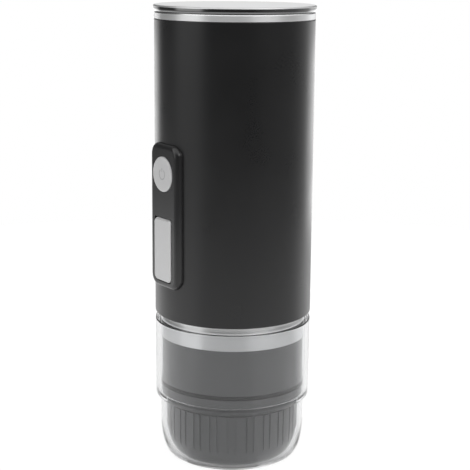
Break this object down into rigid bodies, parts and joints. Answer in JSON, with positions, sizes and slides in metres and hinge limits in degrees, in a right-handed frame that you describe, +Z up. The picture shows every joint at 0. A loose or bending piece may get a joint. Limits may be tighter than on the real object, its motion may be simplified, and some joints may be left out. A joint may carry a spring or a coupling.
{
  "type": "portable coffee machine",
  "caption": "Upright battery coffee machine: black sleeve with a power button and charging port, water tank under the lid, capsule brew unit below, standing on its clear cup.",
  "frame": {"origin": "middle of the cup's flat base, on the surface that the machine stands on", "axes": "+Z up along the sleeve, -Y out of the control panel"},
  "size_m": [0.0748, 0.0767, 0.2145],
  "materials": {
    "clear_cup": "clear, thick-walled",
    "black_sleeve": "black, satin",
    "brushed_ring": "brushed round the axis",
    "lid_steel": "satin top, polished edge",
    "tank_steel": "plain drawn steel",
    "panel_black": "black, satin gloss",
    "silver_plastic": "silver paint",
    "grey_plastic": "dark grey, fine grain",
    "dark_rubber": "matte",
    "red_silicone": "matte",
    "clear_hose": "milky silicone",
    "frame_plastic": "dark grey",
    "small_steel": "plain steel",
    "heater_alloy": "cast",
    "nut_brass": "machined",
    "cell_wrap": "shrink sleeve",
    "board_green": "solder mask",
    "chip_black": "moulded",
    "coil_copper": "enamelled winding",
    "foam": "felt sleeve"
  },
  "bodies": {
    "housing": {"bottom_ring": "brushed_ring", "body_sleeve": "black_sleeve", "top_ring": "brushed_ring", "control_panel": "panel_black", "cover_hinge_pin": "small_steel", "tact_switch": "chip_black", "charging_socket": "small_steel", "control_board": "board_green", "board_components": "chip_black", "water_tank": "tank_steel", "tank_gasket": "dark_rubber", "tank_strainer": "tank_steel", "tank_insulation": "foam", "heater_plate": "heater_alloy", "heater_nut": "nut_brass", "heater_thermostat": "chip_black", "lower_bulkhead": "frame_plastic", "upper_bulkhead": "frame_plastic", "bulkhead_screws": "small_steel", "battery_cell_1": "cell_wrap", "battery_cell_2": "cell_wrap", "battery_cell_3": "cell_wrap", "cell_links": "small_steel", "pump_outlet": "frame_plastic", "pump_inlet": "frame_plastic", "pump_barrel": "small_steel", "pump_coil": "coil_copper", "pump_yoke": "small_steel", "plunger_spring": "small_steel", "valve_spring": "small_steel", "pump_mounts": "dark_rubber", "inlet_hose": "clear_hose", "outlet_hose": "clear_hose", "brew_head": "grey_plastic", "cup_seal": "dark_rubber", "brew_head_screws": "small_steel", "inlet_needle": "small_steel", "brew_gasket": "red_silicone"},
    "lid": {"lid_cap": "lid_steel", "lid_plug": "frame_plastic", "lid_seal": "dark_rubber", "lid_vent": "dark_rubber"},
    "cup": {"cup": "clear_cup"},
    "holder": {"capsule_holder": "grey_plastic", "pierce_plate": "tank_steel"},
    "button": {"power_button": "silver_plastic", "switch_plunger": "chip_black"},
    "port_cover": {"port_cover": "silver_plastic"},
    "plunger": {"pump_plunger": "small_steel"},
    "valve": {"valve_ball": "small_steel"}
  },
  "joints": [
    {"name": "lid_lift", "type": "slide", "parent": "housing", "child": "lid", "axis": [0, 0, 1], "range_m": [0, 0.05]},
    {"name": "cup_pull", "type": "slide", "parent": "housing", "child": "cup", "axis": [0, 0, -1], "range_m": [0, 0.07]},
    {"name": "holder_twist", "type": "hinge", "parent": "housing", "child": "holder", "pos_m": [0, 0, 0.036], "axis": [0, 0, 1], "range_deg": [0, 50]},
    {"name": "button_press", "type": "slide", "parent": "housing", "child": "button", "axis": [0, 1, 0], "range_m": [0, 0.0008], "stiffness_N_per_m": 800},
    {"name": "port_cover_swing", "type": "hinge", "parent": "housing", "child": "port_cover", "pos_m": [0, -0.0382, 0.1178], "axis": [-1, 0, 0], "range_deg": [0, 100]},
    {"name": "plunger_stroke", "type": "slide", "parent": "housing", "child": "plunger", "axis": [0, 0, 1], "range_m": [-0.003, 0.003], "stiffness_N_per_m": 600, "deforming": ["plunger_spring"]},
    {"name": "valve_lift", "type": "slide", "parent": "housing", "child": "valve", "axis": [0, 0, -1], "range_m": [0, 0.001], "stiffness_N_per_m": 60, "deforming": ["valve_spring"]}
  ]
}
